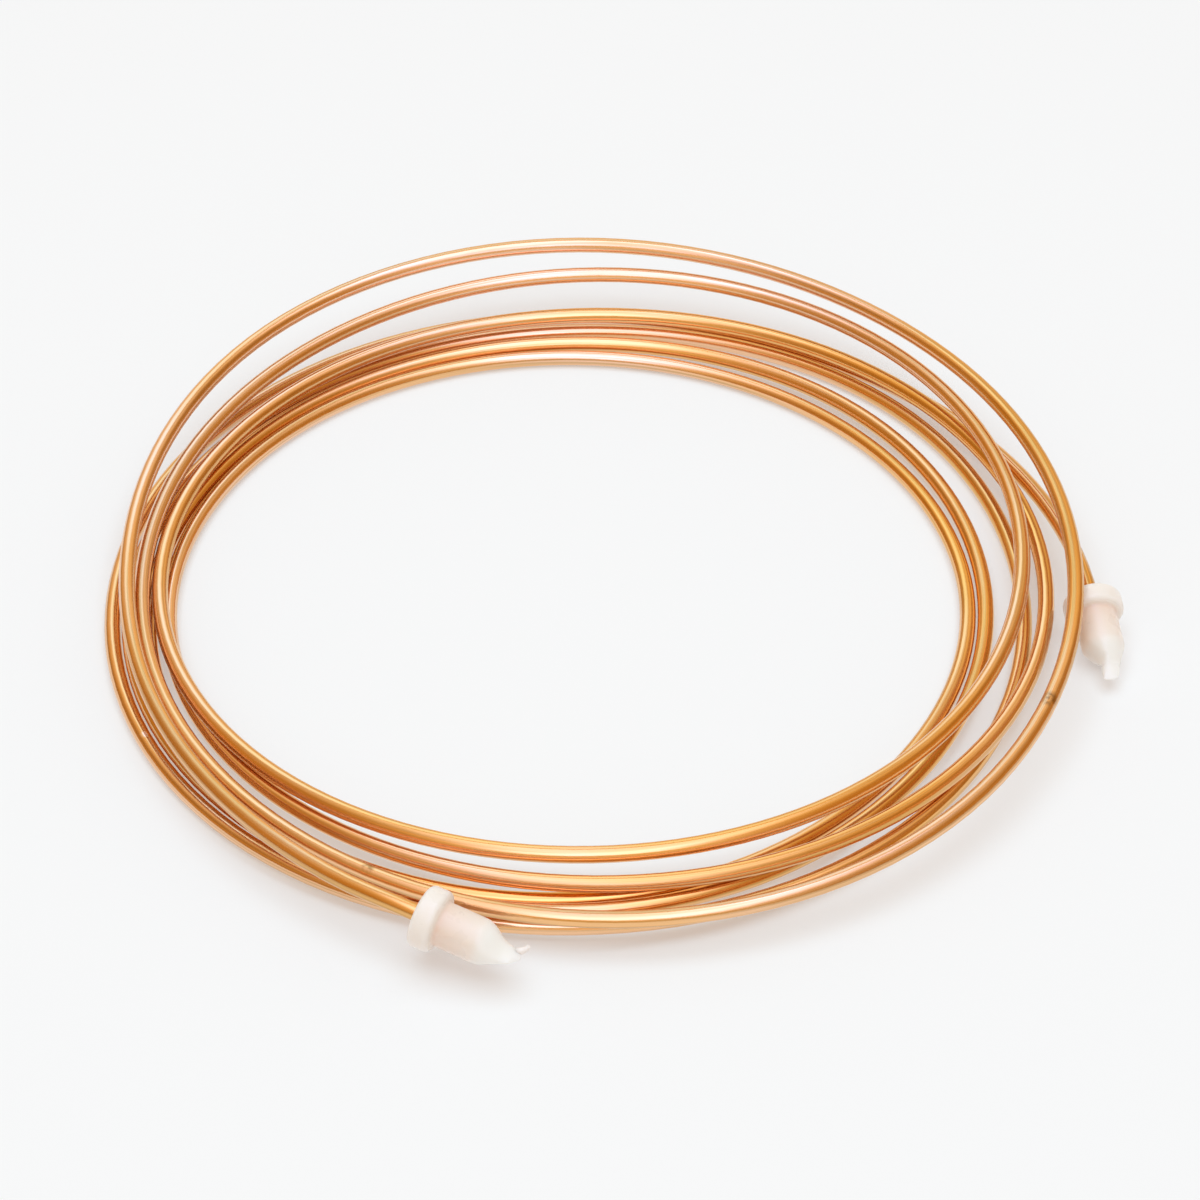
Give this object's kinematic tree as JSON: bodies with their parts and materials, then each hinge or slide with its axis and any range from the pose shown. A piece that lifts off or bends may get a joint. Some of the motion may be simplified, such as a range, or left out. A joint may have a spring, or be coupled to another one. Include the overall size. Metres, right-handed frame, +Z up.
{
  "type": "copper tube coil",
  "caption": "Loose round coil of thin bright copper tube lying flat, with a soft translucent push-on cap closing each tube end.",
  "frame": {"origin": "on the floor, at the axis of the coil's mean turn", "axes": "+Z up along the coil's axis, -Y towards the near side, where the front cap lies, +X towards the right cap"},
  "size_m": [0.1969, 0.2028, 0.018],
  "materials": {
    "copper": "bright drawn copper, polished, with faint draw lines",
    "cap_plastic": "soft milky translucent plastic, satin"
  },
  "bodies": {
    "root": {"copper_tube": "copper", "front_end_cap": "cap_plastic", "right_end_cap": "cap_plastic"}
  },
  "joints": []
}
